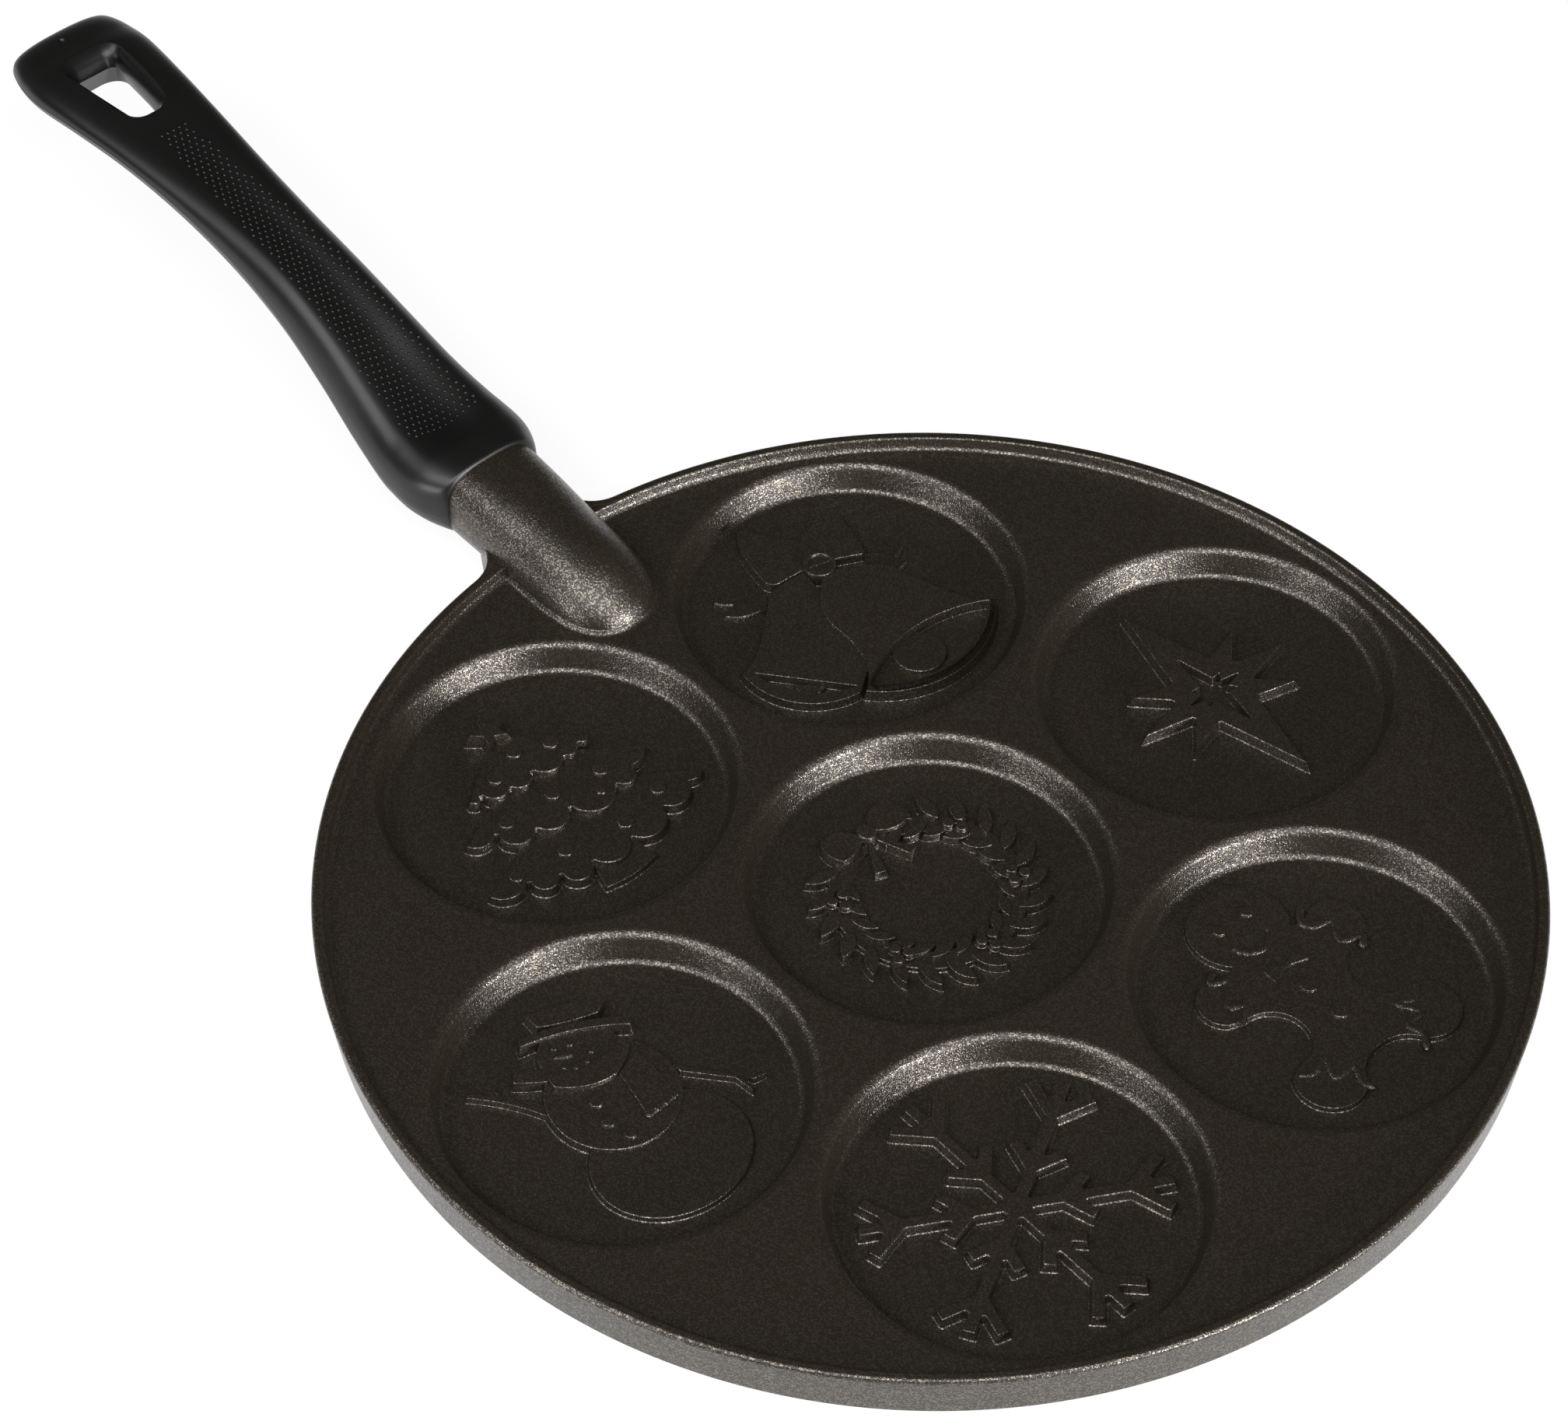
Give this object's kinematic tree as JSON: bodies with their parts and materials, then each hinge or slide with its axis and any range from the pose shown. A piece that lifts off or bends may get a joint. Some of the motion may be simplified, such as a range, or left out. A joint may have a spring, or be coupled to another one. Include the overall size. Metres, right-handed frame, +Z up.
{
  "type": "pancake pan",
  "caption": "Round cast griddle pan with shallow cups that shape small pancakes with festive ornaments, and a curved moulded grip with a hang hole.",
  "frame": {"origin": "centre of the face that the pan rests on, under the middle cup", "axes": "+X towards the grip's end, +Z up"},
  "size_m": [0.4565, 0.2666, 0.0457],
  "materials": {
    "cast_coated": "black non-stick coat with fine sparkle over cast aluminium",
    "grip_phenolic": "satin black phenolic",
    "zinc_steel": "zinc plated"
  },
  "bodies": {
    "root": {"pan_casting": "cast_coated", "handle_grip": "grip_phenolic", "handle_screw": "zinc_steel", "lock_washer": "zinc_steel"}
  },
  "joints": []
}
